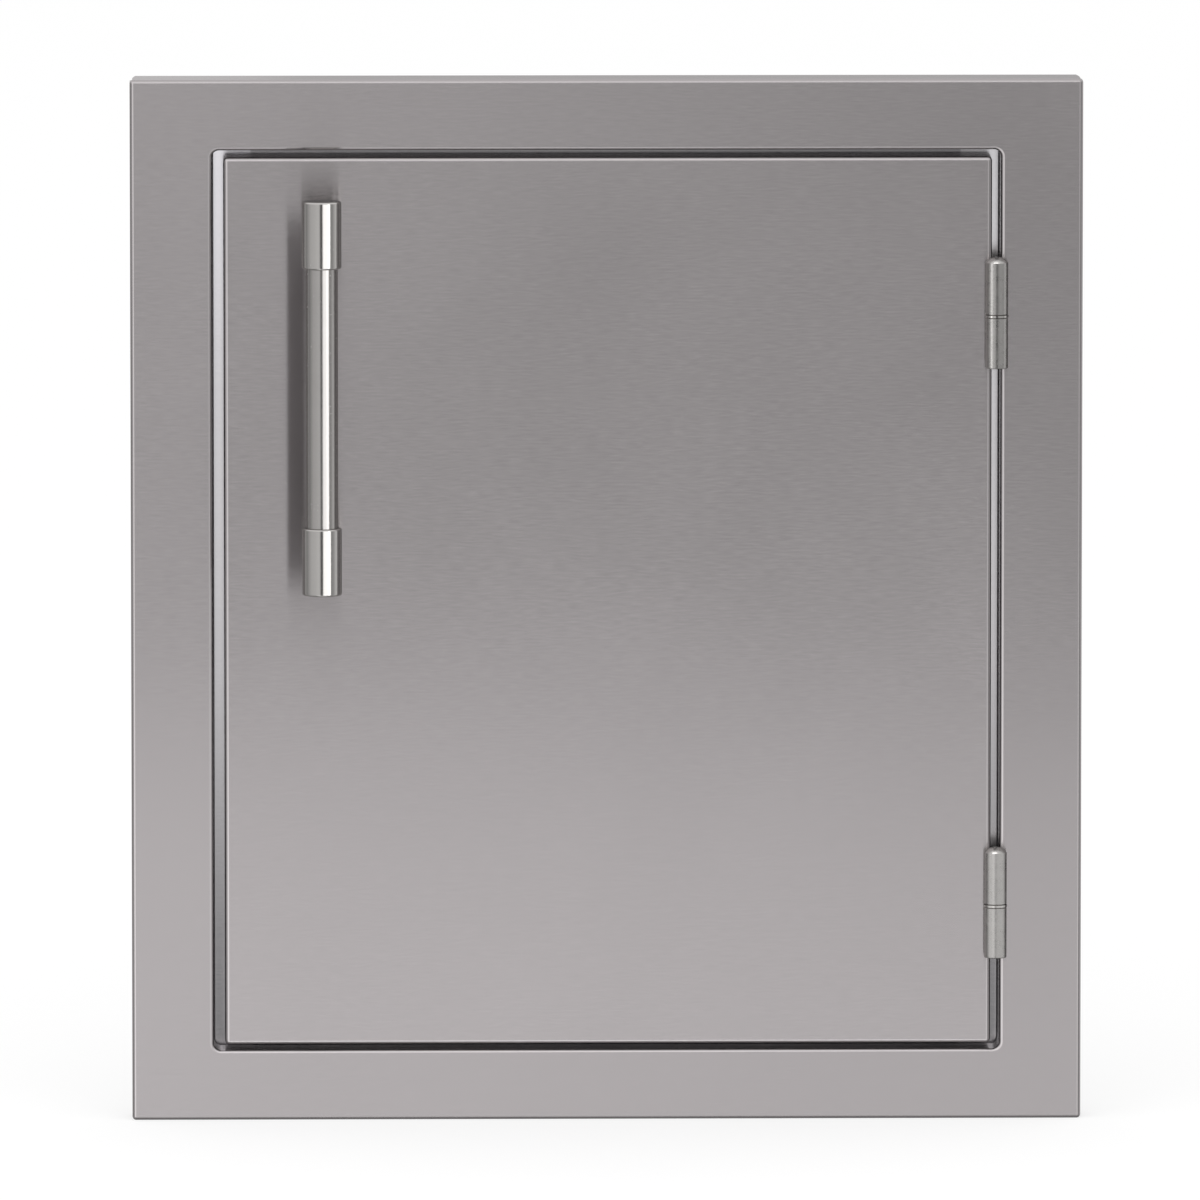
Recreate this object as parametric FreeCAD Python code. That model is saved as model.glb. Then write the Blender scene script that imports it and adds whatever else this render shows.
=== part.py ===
import FreeCAD, Part
import math
import os

# Stainless access door for the front of an outdoor kitchen island: a folded face frame that stands
# proud of the wall, a box of jambs that goes through the wall, and a double-walled door that hangs
# on two lift-off hinges at the right and closes on stops and a magnetic catch at the left.
# Millimetres. The origin is the middle of the wall cut-out, on the face of the wall.
# +Z is up, +X is the hinge side, and the door faces -Y.

V = FreeCAD.Vector

# Face frame, one laser-cut and folded stainless sheet
frame_width = 444.5
frame_height = 489.0
frame_depth = 24.0
frame_sheet = 1.2
inside_bend = 0.6
side_flange = 38.25
level_flange = 33.0
opening_return = 18.0
back_lip = 12.0
corner_taper = 2.4
opening_corner = 3.3
mitre_slot = 0.6
mitre_angle = 45.0

# Jambs, four folded strips spot-welded behind the returns of the opening
jamb_sheet = 1.2
jamb_setback = 3.0
jamb_behind_wall = 32.0
jamb_lip = 10.0
fixing_hole = 5.0
fixing_pitch = 240.0
fixing_depth = 22.0

# Stops, four folded angles inside the jambs, and the rubber strips on them
stop_sheet = 1.2
stop_inside_bend = 1.8
stop_width = 18.0
stop_leg = 14.0
seal_width = 6.0
seal_thickness = 3.0
seal_inset = 7.0
seal_gap = 0.3
seal_joint = 0.3

# Door, an outer pan and an inner liner with a stiffener between them
gap_latch = 5.3
gap_hinge = 4.2
gap_head = 3.3
gap_sill = 2.7
door_thickness = 19.0
door_sheet = 1.0
door_inside_bend = 1.0
door_lip = 10.0
liner_inset = 1.5
dish_margin = 14.0
dish_margin_latch = 31.0
dish_depth = 4.0
dish_slope = 4.0
stiffener_sheet = 1.0
stiffener_from_middle = 60.0
stiffener_crown = 40.0
stiffener_flange = 14.0
stiffener_wall_lean = 8.0
stiffener_end_gap = 12.0

# Lift-off hinges: a frame half with a fixed pin, and a door half that drops over it
barrel_diameter = 10.5
barrel_face_gap = 0.5
lower_knuckle = 24.0
upper_knuckle = 24.5
cap_rise = 2.8
knuckle_chamfer = 0.5
ring_thickness = 1.0
ring_diameter = 10.9
pin_diameter = 6.0
pin_press_gap = 0.01
pin_running_gap = 0.05
pin_below_seam = 18.0
pin_above_seam = 19.0
pin_end_room = 1.5
pin_chamfer = 0.6
leaf_thickness = 1.9
leaf_depth = 15.0
leaf_end_step = 1.0
hinge_seam_from_door_top = 74.1
hinge_seam_from_door_foot = 65.7
hinge_screw_diameter = 4.0
hinge_screw_head = 7.4
hinge_screw_sink = 1.7
hinge_screw_pitch = 11.0
hinge_screw_from_leaf_edge = 6.0
hinge_plate_thickness = 3.0
hinge_plate_depth = 12.0
screw_hole_gap = 0.1

# Bar handle: a tube between two end ferrules, each on a post
handle_from_latch_edge = 45.7
handle_from_door_top = 17.0
handle_length = 184.0
handle_stand = 36.8
bar_diameter = 15.0
bar_wall = 1.5
ferrule_diameter = 18.4
ferrule_length = 31.5
ferrule_rim = 1.0
ferrule_socket = 11.0
fit_gap = 0.05
post_height = 19.0
post_from_end = 3.5
post_width = 13.4
post_round = 2.0
handle_screw_diameter = 5.0
handle_screw_bite = 4.0
handle_screw_clearance = 0.3
handle_screw_head = 9.0
handle_screw_head_height = 2.6
handle_screw_crown = 0.9
handle_screw_end_gap = 1.0
handle_washer_diameter = 13.0
handle_washer_thickness = 1.2
sleeve_diameter = 11.0

# Magnetic catch on the latch-side stop, and its strike plate on the liner
catch_z = 0.0
catch_height = 44.0
catch_width = 14.0
catch_depth = 14.0
catch_side_gap = 0.3
catch_ear = 14.0
catch_ear_thickness = 2.5
catch_screw_diameter = 3.5
catch_screw_pitch = 26.0
catch_screw_from_stop_edge = 5.0
catch_screw_head = 6.5
catch_screw_head_height = 2.0
magnet_thickness = 5.0
magnet_height = 30.0
pole_thickness = 1.2
pole_proud = 1.0
pole_depth = 10.0
magnet_recess = 0.8
strike_gap = 0.3
strike_height = 42.0
strike_width = 12.0
strike_thickness = 1.5
rivet_diameter = 3.2
rivet_head = 5.2
rivet_head_height = 0.8
rivet_from_strike_end = 3.6

# Planes and places that follow from the sizes above
front = -frame_depth
outside_bend = inside_bend + frame_sheet
half_opening = {"side": frame_width / 2 - side_flange, "level": frame_height / 2 - level_flange}
jamb_inside = {way: half + frame_sheet for way, half in half_opening.items()}
door_front = front
door_back = front + door_thickness
door_left = -half_opening["side"] + gap_latch
door_right = half_opening["side"] - gap_hinge
door_foot = -half_opening["level"] + gap_sill
door_top = half_opening["level"] - gap_head
skin_inside = door_front + door_sheet
liner_front = door_back - door_sheet
dish_front = liner_front - dish_depth
dish_back = door_back - dish_depth
stop_front = door_back + seal_gap + seal_thickness
stop_back = stop_front + stop_sheet
stop_edge = half_opening["side"] - stop_width
hinge_x = half_opening["side"] - gap_hinge / 2
hinge_y = front - barrel_face_gap - barrel_diameter / 2
hinge_seams = {
    "upper": door_top - hinge_seam_from_door_top,
    "lower": door_foot + hinge_seam_from_door_foot,
}
leaf_back = front + leaf_depth
handle_x = door_left + handle_from_latch_edge
handle_y = door_front - handle_stand
handle_top = door_top - handle_from_door_top
handle_foot = handle_top - handle_length
post_middle_from_end = post_from_end + post_height / 2
post_levels = {"upper": handle_top - post_middle_from_end, "lower": handle_foot + post_middle_from_end}

# Two values this near to each other are one plane, one height or one diameter
SAME = 1e-6

# Each side of the frame is drawn as the right-hand one and turned about the Y axis to its place
SIDES = {"right": ("side", 0), "head": ("level", -90), "left": ("side", 180), "sill": ("level", 90)}


def block(x0, x1, y0, y1, z0, z1):
    """Box between two values on each axis."""
    return Part.makeBox(x1 - x0, y1 - y0, z1 - z0, V(x0, y0, z0))


def rounded_block(x0, x1, y0, y1, z0, z1, radius):
    """Box whose four edges along Y are rounded."""
    box = block(x0, x1, y0, y1, z0, z1)
    return box.makeFillet(radius, edges_along_y(box))


def edges_along_y(shape):
    """Edges of a shape that run from front to back."""
    return [e for e in shape.Edges if abs(e.tangentAt(e.FirstParameter).y) > SAME]


def rod(diameter, start, end):
    """Round bar between two points."""
    return Part.makeCylinder(diameter / 2, (end - start).Length, start, end - start)


def cone(diameter0, diameter1, start, end):
    """Tapered round between two points."""
    return Part.makeCone(diameter0 / 2, diameter1 / 2, (end - start).Length, start, end - start)


def edges_in_plane(shape, y):
    """Edges of a shape that lie in the plane at y."""
    return [e for e in shape.Edges if all(abs(v.Y - y) < SAME for v in e.Vertexes)]


def rings_at(shape, z, diameter):
    """Round edges of a shape at height z and of one diameter, for a chamfer or a fillet."""
    found = []
    for edge in shape.Edges:
        level = all(abs(v.Z - z) < SAME for v in edge.Vertexes)
        if level and isinstance(edge.Curve, Part.Circle) and abs(edge.Curve.Radius * 2 - diameter) < SAME:
            found.append(edge)
    return found


def pan(x0, x1, z0, z1, y0, y1, sheet, bend):
    """Tray of folded sheet, open at the back, with rounded front bends and corners."""
    outside = block(x0, x1, y0, y1, z0, z1)
    outside = outside.makeFillet(bend + sheet, edges_in_plane(outside, y0) + edges_along_y(outside))
    inside = block(x0 + sheet, x1 - sheet, y0 + sheet, y1, z0 + sheet, z1 - sheet)
    inside = inside.makeFillet(bend, edges_in_plane(inside, y0 + sheet) + edges_along_y(inside))
    return outside.cut(inside)


def folded(corners, bends, low, high):
    """Strip of folded sheet: a section in X and Y, pulled up from low to high, with rounded bends."""
    outline = Part.makePolygon([V(x, y, low) for x, y in corners + corners[:1]])
    strip = Part.Face(outline).extrude(V(0, 0, high - low))
    for (x, y), radius in bends.items():
        edges = [
            e for e in strip.Edges
            if all(abs(v.X - x) < SAME and abs(v.Y - y) < SAME for v in e.Vertexes)
        ]
        strip = strip.makeFillet(radius, edges)
    return strip


def turned(shape, angle):
    """A shape turned about the Y axis through the middle of the opening."""
    shape = shape.copy()
    shape.rotate(V(0, 0, 0), V(0, 1, 0), angle)
    return shape


def save(node, *solids):
    """Writes one node of the part as a STEP file."""
    shape = solids[0] if len(solids) == 1 else Part.makeCompound(list(solids))
    shape.exportStep("parts/" + node + ".step")


# The face frame: outer returns to the wall with lips that lie on it, and a short return round the
# opening, which is welded and ground round at its corners. The outer returns taper at their ends,
# so the outer corners stay open behind the front bend.
def face_frame():
    half_w = frame_width / 2
    half_h = frame_height / 2
    open_w = half_opening["side"]
    open_h = half_opening["level"]
    return_back = front + opening_return
    shell = pan(-half_w, half_w, -half_h, half_h, front, 0, frame_sheet, inside_bend)
    lips = rounded_block(-half_w, half_w, -frame_sheet, 0, -half_h, half_h, outside_bend).cut(block(
        -half_w + back_lip, half_w - back_lip, -frame_sheet, 0, -half_h + back_lip, half_h - back_lip))
    rim_w = open_w + frame_sheet
    rim_h = open_h + frame_sheet
    rim = rounded_block(-rim_w, rim_w, front, return_back, -rim_h, rim_h, opening_corner + frame_sheet)
    opening = rounded_block(-open_w, open_w, front, return_back, -open_h, open_h, opening_corner)
    frame = shell.fuse([lips, rim]).cut(opening).removeSplitter()
    bends = [e for e in edges_in_plane(frame, front) if abs(e.CenterOfMass.x) < rim_w
             and abs(e.CenterOfMass.z) < rim_h]
    frame = frame.makeFillet(outside_bend, bends)
    cuts = []
    for side_x in (-1, 1):
        for side_z in (-1, 1):
            cuts += corner_cuts(side_x, side_z)
    cuts += [hinge_hole(seam, open_w, rim_w) for seam in hinge_seams.values()]
    return frame.cut(cuts)


def corner_cuts(side_x, side_z):
    """The open corner of the outer returns and the mitre between two back lips."""
    half_w = frame_width / 2
    half_h = frame_height / 2
    bend_back = front + outside_bend
    level_end = Part.Face(Part.makePolygon([
        V(half_w, bend_back, 0), V(half_w, 0, 0), V(half_w - corner_taper, 0, 0), V(half_w, bend_back, 0)]))
    level_cut = level_end.extrude(V(0, 0, frame_sheet))
    level_cut.translate(V(0, 0, half_h - frame_sheet))
    side_end = Part.Face(Part.makePolygon([
        V(0, bend_back, half_h), V(0, 0, half_h), V(0, 0, half_h - corner_taper), V(0, bend_back, half_h)]))
    side_cut = side_end.extrude(V(frame_sheet, 0, 0))
    side_cut.translate(V(half_w - frame_sheet, 0, 0))
    reach = 2 * back_lip
    slot = block(-reach, corner_taper, -frame_sheet, 0, -mitre_slot / 2, mitre_slot / 2)
    slot.rotate(V(0, 0, 0), V(0, 1, 0), -mitre_angle)
    slot.translate(V(half_w, 0, half_h))
    cuts = [level_cut, side_cut, slot]
    if side_x < 0:
        cuts = [c.mirror(V(0, 0, 0), V(1, 0, 0)) for c in cuts]
    if side_z < 0:
        cuts = [c.mirror(V(0, 0, 0), V(0, 0, 1)) for c in cuts]
    return cuts


# The jambs: the box that goes through the wall. The two at the sides run full height and have the
# holes for the fixing screws, and the head and the sill fit between them.
def jamb(side):
    way, angle = SIDES[side]
    inside = jamb_inside[way]
    outside = inside + jamb_sheet
    start = front + jamb_setback
    lip_end = outside - jamb_lip
    corners = [
        (inside, start), (outside, start), (outside, jamb_behind_wall), (lip_end, jamb_behind_wall),
        (lip_end, jamb_behind_wall - jamb_sheet), (inside, jamb_behind_wall - jamb_sheet),
    ]
    bends = {
        (outside, jamb_behind_wall): inside_bend + jamb_sheet,
        (inside, jamb_behind_wall - jamb_sheet): inside_bend,
    }
    if way == "side":
        reach = jamb_inside["level"] + jamb_sheet
        strip = folded(corners, bends, -reach, reach)
        holes = [
            rod(fixing_hole, V(inside, fixing_depth, z), V(outside, fixing_depth, z))
            for z in (-fixing_pitch / 2, fixing_pitch / 2)
        ]
        if side == "right":
            holes += [hinge_hole(seam, inside, outside) for seam in hinge_seams.values()]
        return turned(strip.cut(holes), angle)
    end = jamb_inside["side"]
    side_lip = end + jamb_sheet - jamb_lip
    lip_front = jamb_behind_wall - jamb_sheet - inside_bend
    strip = folded(corners, bends, -end, end)
    room_for_side_lips = [
        block(0, outside, lip_front, jamb_behind_wall, -end, -side_lip),
        block(0, outside, lip_front, jamb_behind_wall, side_lip, end),
    ]
    return turned(strip.cut(room_for_side_lips), angle)


def hinge_hole(seam, x0, x1):
    """The two clearance holes for the screws of one frame half."""
    holes = [rod(hinge_screw_diameter + 2 * screw_hole_gap, V(x0, hinge_screw_y, z), V(x1, hinge_screw_y, z))
             for z in frame_screw_levels(seam)]
    return holes[0].fuse(holes[1])


# The stops: angles inside the jambs that the door closes on, those at the head and the sill
# between the flanges of those at the sides.
def stop(side):
    way, angle = SIDES[side]
    outside = jamb_inside[way]
    inside = outside - stop_sheet
    edge = half_opening[way] - stop_width
    leg_end = stop_front + stop_leg
    corners = [
        (outside, stop_front), (outside, leg_end), (inside, leg_end), (inside, stop_back), (edge, stop_back),
        (edge, stop_front),
    ]
    bends = {(outside, stop_front): stop_inside_bend + stop_sheet, (inside, stop_back): stop_inside_bend}
    reach = jamb_inside["level"] if way == "side" else stop_edge
    strip = turned(folded(corners, bends, -reach, reach), angle)
    if side == "left":
        strip = strip.cut([catch_screw_hole(z) for z in catch_screw_levels])
    return strip


# The seals: strips of rubber glued to the front of the stops.
def seal(side):
    way, angle = SIDES[side]
    outside = half_opening[way] - seal_inset
    other = half_opening["level" if way == "side" else "side"] - seal_inset
    reach = other if way == "side" else other - seal_width - seal_joint
    strip = block(outside - seal_width, outside, stop_front - seal_thickness, stop_front, -reach, reach)
    return turned(strip, angle)


# The door skin: a pan with its edges folded back and lips turned in behind.
def door_skin():
    skin = pan(
        door_left, door_right, door_foot, door_top, door_front, liner_front, door_sheet, door_inside_bend)
    lips = rounded_block(
        door_left, door_right, liner_front - door_sheet, liner_front, door_foot, door_top,
        door_inside_bend + door_sheet)
    lips = lips.cut(block(
        door_left + door_lip, door_right - door_lip, liner_front - door_sheet, liner_front,
        door_foot + door_lip, door_top - door_lip))
    skin = skin.fuse(lips).removeSplitter()
    hole = handle_screw_diameter + 2 * handle_screw_clearance
    cuts = [rod(hole, V(handle_x, door_front, z), V(handle_x, skin_inside, z)) for z in post_levels.values()]
    for seam in hinge_seams.values():
        for z in door_screw_levels(seam):
            cuts.append(rod(hinge_screw_diameter + 2 * screw_hole_gap,
                            V(door_right - door_sheet, hinge_screw_y, z), V(door_right, hinge_screw_y, z)))
    return skin.cut(cuts)


# The liner: the inner wall of the door, flat at its rim and pressed in over its middle.
def door_liner():
    rim = block(door_left + liner_inset, door_right - liner_inset, liner_front, door_back,
                door_foot + liner_inset, door_top - liner_inset)
    hollow = dish(door_back)
    liner = rim.cut(hollow).fuse(dish(liner_front)).cut(hollow).removeSplitter()
    hole = handle_screw_diameter + 2 * handle_screw_clearance
    cuts = [rod(hole, V(handle_x, dish_front, z), V(handle_x, dish_back, z)) for z in post_levels.values()]
    cuts += [rod(rivet_diameter + 2 * fit_gap, V(strike_x, liner_front, z), V(strike_x, door_back, z))
             for z in rivet_levels]
    return liner.cut(cuts)


def dish(mouth):
    """The pressed field of the liner, with sloping sides, from its mouth at y forwards."""
    wide = rectangle(mouth, 0)
    narrow = rectangle(mouth - dish_depth, dish_slope)
    return Part.makeLoft([wide, narrow], True, True)


def rectangle(y, inset):
    """Outline of the pressed field at one depth."""
    x0 = door_left + dish_margin_latch + inset
    x1 = door_right - dish_margin - inset
    z0 = door_foot + dish_margin + inset
    z1 = door_top - dish_margin - inset
    return Part.makePolygon([V(x0, y, z0), V(x1, y, z0), V(x1, y, z1), V(x0, y, z1), V(x0, y, z0)])


# The stiffeners: two upright hat sections, glued to the skin and to the pressed field.
def door_stiffener(middle):
    t = stiffener_sheet
    crown = stiffener_crown / 2
    foot = crown + stiffener_wall_lean
    end = foot + stiffener_flange
    flange_back = skin_inside + t
    half_section = [
        (crown - t, dish_front - t), (foot - t, skin_inside), (end, skin_inside), (end, flange_back),
        (foot, flange_back), (crown, dish_front),
    ]
    corners = half_section + [(-x, y) for x, y in reversed(half_section)]
    z0 = door_foot + dish_margin + dish_slope + stiffener_end_gap
    z1 = door_top - dish_margin - dish_slope - stiffener_end_gap
    return folded([(middle + x, y) for x, y in corners], {}, z0, z1)


# The hinges. The frame half holds the pin and stands below the seam, the door half turns on it
# above, and a bright ring carries the weight between them. Each leaf runs back through the gap.
hinge_screw_y = leaf_back - hinge_screw_from_leaf_edge


def frame_screw_levels(seam):
    """Heights of the two screws of a frame half."""
    middle = seam - ring_thickness / 2 - lower_knuckle / 2
    return (middle - hinge_screw_pitch / 2, middle + hinge_screw_pitch / 2)


def door_screw_levels(seam):
    """Heights of the two screws of a door half."""
    middle = seam + ring_thickness / 2 + upper_knuckle / 2
    return (middle - hinge_screw_pitch / 2, middle + hinge_screw_pitch / 2)


def frame_half(seam):
    top = seam - ring_thickness / 2
    foot = top - lower_knuckle
    barrel = rod(barrel_diameter, V(hinge_x, hinge_y, foot), V(hinge_x, hinge_y, top))
    barrel = barrel.makeChamfer(knuckle_chamfer, rings_at(barrel, top, barrel_diameter))
    barrel = barrel.makeFillet(knuckle_chamfer, rings_at(barrel, foot, barrel_diameter))
    x1 = half_opening["side"]
    leaf = block(x1 - leaf_thickness, x1, hinge_y, leaf_back, foot + leaf_end_step, top - leaf_end_step)
    bore = rod(pin_diameter + 2 * pin_press_gap,
               V(hinge_x, hinge_y, seam - pin_below_seam), V(hinge_x, hinge_y, top))
    cuts = [bore] + [sunk_hole(x1 - leaf_thickness, 1, z) for z in frame_screw_levels(seam)]
    return barrel.fuse(leaf).removeSplitter().cut(cuts)


def door_half(seam):
    foot = seam + ring_thickness / 2
    rim = foot + upper_knuckle
    barrel = rod(barrel_diameter, V(hinge_x, hinge_y, foot), V(hinge_x, hinge_y, rim))
    barrel = barrel.makeChamfer(knuckle_chamfer, rings_at(barrel, foot, barrel_diameter))
    leaf = block(door_right, door_right + leaf_thickness, hinge_y, leaf_back,
                 foot + leaf_end_step, rim - leaf_end_step)
    bore = rod(pin_diameter + 2 * pin_running_gap,
               V(hinge_x, hinge_y, foot), V(hinge_x, hinge_y, seam + pin_above_seam + pin_end_room))
    cuts = [bore] + [sunk_hole(door_right + leaf_thickness, -1, z) for z in door_screw_levels(seam)]
    return barrel.fuse([leaf, hinge_cap(rim)]).removeSplitter().cut(cuts)


def hinge_cap(rim):
    """The domed end of a door half, a slice of a ball."""
    radius = barrel_diameter / 2
    ball = (radius ** 2 + cap_rise ** 2) / (2 * cap_rise)
    half_turn = math.atan2(radius, ball - cap_rise) / 2
    middle = V(ball * math.sin(half_turn), 0, ball * math.cos(half_turn) - ball + cap_rise)
    arc = Part.Arc(V(radius, 0, 0), middle, V(0, 0, cap_rise))
    side = Part.Wire([arc.toShape(), Part.makeLine(V(0, 0, cap_rise), V(0, 0, 0)),
                      Part.makeLine(V(0, 0, 0), V(radius, 0, 0))])
    cap = Part.Face(side).revolve(V(0, 0, 0), V(0, 0, 1), 360)
    cap.translate(V(hinge_x, hinge_y, rim))
    return cap


def sunk_hole(x, way, z):
    """Countersunk hole in a leaf, from the face at x inwards."""
    hole = hinge_screw_diameter + 2 * screw_hole_gap
    mouth = hinge_screw_head + 2 * screw_hole_gap
    start = V(x, hinge_screw_y, z)
    through = rod(hole, start, start + V(way * leaf_thickness, 0, 0))
    return through.fuse(cone(mouth, hole, start, start + V(way * hinge_screw_sink, 0, 0)))


def hinge_screw(x, way, z, length):
    """Countersunk screw of a leaf, flush with its face."""
    start = V(x, hinge_screw_y, z)
    shank = rod(hinge_screw_diameter, start, start + V(way * length, 0, 0))
    head = cone(hinge_screw_head, hinge_screw_diameter, start, start + V(way * hinge_screw_sink, 0, 0))
    return shank.fuse(head)


def hinge_pin(seam):
    foot = seam - pin_below_seam
    top = seam + pin_above_seam
    pin = rod(pin_diameter, V(hinge_x, hinge_y, foot), V(hinge_x, hinge_y, top))
    return pin.makeChamfer(pin_chamfer, rings_at(pin, top, pin_diameter))


def hinge_ring(seam):
    low = V(hinge_x, hinge_y, seam - ring_thickness / 2)
    high = V(hinge_x, hinge_y, seam + ring_thickness / 2)
    return rod(ring_diameter, low, high).cut(rod(pin_diameter + 2 * pin_running_gap, low, high))


def hinge_plate(x, levels):
    """Tapped plate that the screws of one half pull against."""
    x0, x1 = sorted(x)
    z0, z1 = levels
    edge = hinge_screw_pitch / 2
    y0 = hinge_screw_y - hinge_plate_depth / 2
    plate = block(x0, x1, y0, y0 + hinge_plate_depth, z0 - edge, z1 + edge)
    hole = hinge_screw_diameter + 2 * screw_hole_gap
    return plate.cut([rod(hole, V(x0, hinge_screw_y, z), V(x1, hinge_screw_y, z)) for z in levels])


# The handle: the bar enters a socket in each ferrule, and a long screw from inside the door goes
# through a sleeve, the skin and the post into the solid end of the ferrule.
def handle_bar():
    solid_end = ferrule_length - ferrule_socket
    low = V(handle_x, handle_y, handle_foot + solid_end)
    high = V(handle_x, handle_y, handle_top - solid_end)
    return rod(bar_diameter, low, high).cut(rod(bar_diameter - 2 * bar_wall, low, high))


def ferrule(end):
    way = 1 if end == "upper" else -1
    tip = handle_top if end == "upper" else handle_foot
    mouth = tip - way * ferrule_length
    low, high = sorted((tip, mouth))
    body = rod(ferrule_diameter, V(handle_x, handle_y, low), V(handle_x, handle_y, high))
    rims = rings_at(body, low, ferrule_diameter) + rings_at(body, high, ferrule_diameter)
    body = body.makeFillet(ferrule_rim, rims)
    socket = rod(bar_diameter + 2 * fit_gap, V(handle_x, handle_y, mouth),
                 V(handle_x, handle_y, mouth + way * ferrule_socket))
    level = post_levels[end]
    tapped = rod(handle_screw_diameter + 2 * fit_gap,
                 V(handle_x, handle_y + ferrule_diameter / 2, level), V(handle_x, handle_screw_end, level))
    return body.cut([socket, tapped])


def post(end):
    level = post_levels[end]
    body = block(handle_x - post_width / 2, handle_x + post_width / 2, handle_y, door_front,
                 level - post_height / 2, level + post_height / 2)
    long_edges = [e for e in body.Edges if abs(e.Vertexes[0].Y - e.Vertexes[1].Y) > SAME]
    body = body.makeFillet(post_round, long_edges)
    seat = rod(ferrule_diameter + 2 * fit_gap, V(handle_x, handle_y, level - post_height),
               V(handle_x, handle_y, level + post_height))
    hole = rod(handle_screw_diameter + 2 * handle_screw_clearance,
               V(handle_x, handle_y, level), V(handle_x, door_front, level))
    return body.cut([seat, hole])


handle_screw_end = handle_y - handle_screw_bite
handle_washer_back = dish_back + handle_washer_thickness


def handle_screw(level):
    head_back = handle_washer_back + handle_screw_head_height
    head = rod(handle_screw_head, V(handle_x, handle_washer_back, level), V(handle_x, head_back, level))
    head = head.makeFillet(handle_screw_crown, edges_in_plane(head, head_back))
    shank = rod(handle_screw_diameter, V(handle_x, handle_screw_end + handle_screw_end_gap, level),
                V(handle_x, handle_washer_back, level))
    return head.fuse(shank)


def handle_washer(level):
    low = V(handle_x, dish_back, level)
    high = V(handle_x, handle_washer_back, level)
    hole = handle_screw_diameter + 2 * handle_screw_clearance
    return rod(handle_washer_diameter, low, high).cut(rod(hole, low, high))


def handle_sleeve(level):
    low = V(handle_x, skin_inside, level)
    high = V(handle_x, dish_front, level)
    hole = handle_screw_diameter + 2 * handle_screw_clearance
    return rod(sleeve_diameter, low, high).cut(rod(hole, low, high))


# The catch: a plastic housing screwed behind the latch-side stop, with a magnet between two steel
# poles that meet the strike plate on the back of the door.
catch_x0 = -stop_edge + catch_side_gap
catch_x1 = catch_x0 + catch_width
catch_x = (catch_x0 + catch_x1) / 2
catch_screw_x = -stop_edge - catch_screw_from_stop_edge
catch_screw_levels = (catch_z - catch_screw_pitch / 2, catch_z + catch_screw_pitch / 2)
strike_x = catch_x
strike_back = door_back + strike_thickness
pole_front = strike_back + strike_gap
catch_front = pole_front + pole_proud
catch_back = catch_front + catch_depth
rivet_reach = strike_height / 2 - rivet_from_strike_end
rivet_levels = (catch_z - rivet_reach, catch_z + rivet_reach)


def catch_screw_hole(z):
    """Hole for a catch screw through the stop."""
    return rod(catch_screw_diameter, V(catch_screw_x, stop_front, z), V(catch_screw_x, stop_back, z))


def catch_housing():
    z0 = catch_z - catch_height / 2
    z1 = catch_z + catch_height / 2
    body = block(catch_x0, catch_x1, catch_front, catch_back, z0, z1)
    ear = block(-stop_edge - catch_ear, catch_x0, stop_back, stop_back + catch_ear_thickness, z0, z1)
    half_wide = magnet_thickness / 2 + pole_thickness + fit_gap
    half_high = magnet_height / 2 + fit_gap
    pocket = block(catch_x - half_wide, catch_x + half_wide, catch_front, pole_front + pole_depth + fit_gap,
                   catch_z - half_high, catch_z + half_high)
    holes = [rod(catch_screw_diameter + 2 * screw_hole_gap, V(catch_screw_x, stop_back, z),
                 V(catch_screw_x, stop_back + catch_ear_thickness, z)) for z in catch_screw_levels]
    return body.fuse(ear).removeSplitter().cut([pocket] + holes)


def catch_magnet():
    half = magnet_thickness / 2
    return block(catch_x - half, catch_x + half, pole_front + magnet_recess, pole_front + pole_depth,
                 catch_z - magnet_height / 2, catch_z + magnet_height / 2)


def catch_poles():
    half = magnet_thickness / 2
    plates = []
    for way in (-1, 1):
        x0, x1 = sorted((catch_x + way * half, catch_x + way * (half + pole_thickness)))
        plates.append(block(x0, x1, pole_front, pole_front + pole_depth,
                            catch_z - magnet_height / 2, catch_z + magnet_height / 2))
    return plates


def catch_screw(z):
    head_front = stop_back + catch_ear_thickness
    head = rod(catch_screw_head, V(catch_screw_x, head_front, z),
               V(catch_screw_x, head_front + catch_screw_head_height, z))
    shank = rod(catch_screw_diameter - 2 * fit_gap, V(catch_screw_x, stop_front, z),
                V(catch_screw_x, head_front, z))
    return head.fuse(shank)


def strike_plate():
    half = strike_width / 2
    plate = block(strike_x - half, strike_x + half, door_back, strike_back,
                  catch_z - strike_height / 2, catch_z + strike_height / 2)
    hole = rivet_diameter + 2 * fit_gap
    holes = [rod(hole, V(strike_x, door_back, z), V(strike_x, strike_back, z)) for z in rivet_levels]
    return plate.cut(holes)


def strike_rivet(z):
    tail = rod(rivet_head, V(strike_x, liner_front - rivet_head_height, z), V(strike_x, liner_front, z))
    stem = rod(rivet_diameter, V(strike_x, liner_front - rivet_head_height, z), V(strike_x, strike_back, z))
    head = rod(rivet_head, V(strike_x, strike_back, z), V(strike_x, strike_back + rivet_head_height, z))
    return tail.fuse([stem, head])


os.makedirs("parts", exist_ok=True)

save("face_frame", face_frame())
for side in SIDES:
    save("jamb_" + side, jamb(side))
    save("stop_" + side, stop(side))
    save("seal_" + side, seal(side))

save("door_skin", door_skin())
save("door_liner", door_liner())
door_middle = (door_left + door_right) / 2
for name, way in (("left", -1), ("right", 1)):
    save("door_stiffener_" + name, door_stiffener(door_middle + way * stiffener_from_middle))

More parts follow.
